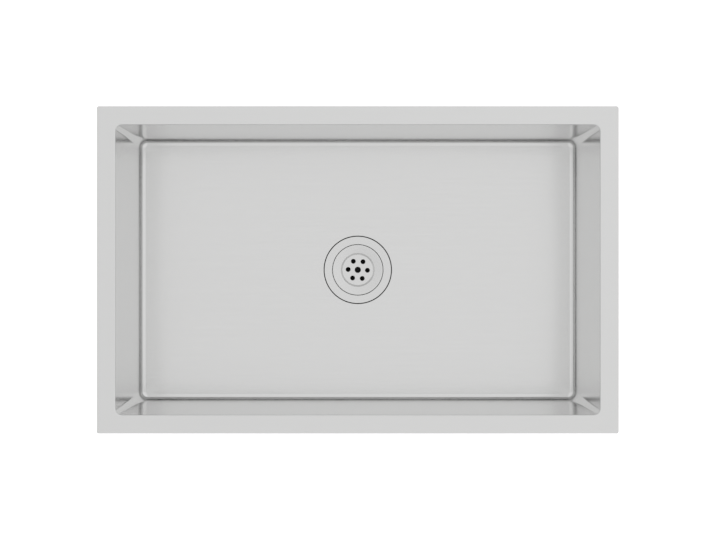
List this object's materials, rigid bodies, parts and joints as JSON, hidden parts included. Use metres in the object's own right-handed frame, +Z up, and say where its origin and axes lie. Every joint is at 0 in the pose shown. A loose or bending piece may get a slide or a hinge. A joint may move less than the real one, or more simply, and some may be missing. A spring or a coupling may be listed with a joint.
{
  "type": "undermount kitchen sink",
  "caption": "Single-bowl undermount kitchen sink with square walls, a flat rim flange, a floor falling to a central lift-out basket strainer, and a straight outlet tube.",
  "frame": {"origin": "centre of the rim flange's top plane, where the sink meets the underside of the worktop", "axes": "+Z up, out of the bowl; +X along the long side; the user stands at -Y"},
  "size_m": [0.8, 0.502, 0.4022],
  "materials": {
    "satin_steel": "fine satin brushing inside and on the rim, grey damping coat outside",
    "pressed_steel": "fine turned satin",
    "blackened_steel": "black oxide",
    "damping_rubber": "matt moulded rubber with a fine grain",
    "black_rubber": "smooth matt",
    "foam": "closed-cell foam",
    "fibre": "pressed brown fibre",
    "black_plastic": "moulded, lightly textured",
    "turned_brass": "turned",
    "plated_brass": "bright plated",
    "white_nylon": "moulded"
  },
  "bodies": {
    "sink": {"sink_bowl": "satin_steel", "side_pad_front": "damping_rubber", "side_pad_back": "damping_rubber", "side_pad_left": "damping_rubber", "side_pad_right": "damping_rubber", "floor_pad_left": "damping_rubber", "floor_pad_right": "damping_rubber", "strainer_body": "pressed_steel", "flange_seal": "foam", "body_gasket": "black_rubber", "friction_washer": "fibre", "locknut": "black_plastic", "outlet_spigot": "turned_brass", "outlet_cross": "turned_brass", "tailpiece_washer": "white_nylon", "tailpiece": "plated_brass", "coupling_nut": "plated_brass"},
    "basket": {"strainer_basket": "pressed_steel", "basket_stem": "black_plastic", "stem_screw": "blackened_steel", "stopper_washer": "pressed_steel", "stopper_seal": "black_rubber", "stem_nose": "turned_brass", "grip_ring": "black_rubber"}
  },
  "joints": [
    {"name": "basket_lift", "type": "slide", "parent": "sink", "child": "basket", "axis": [0, 0, 1], "range_m": [0, 0.08]}
  ]
}
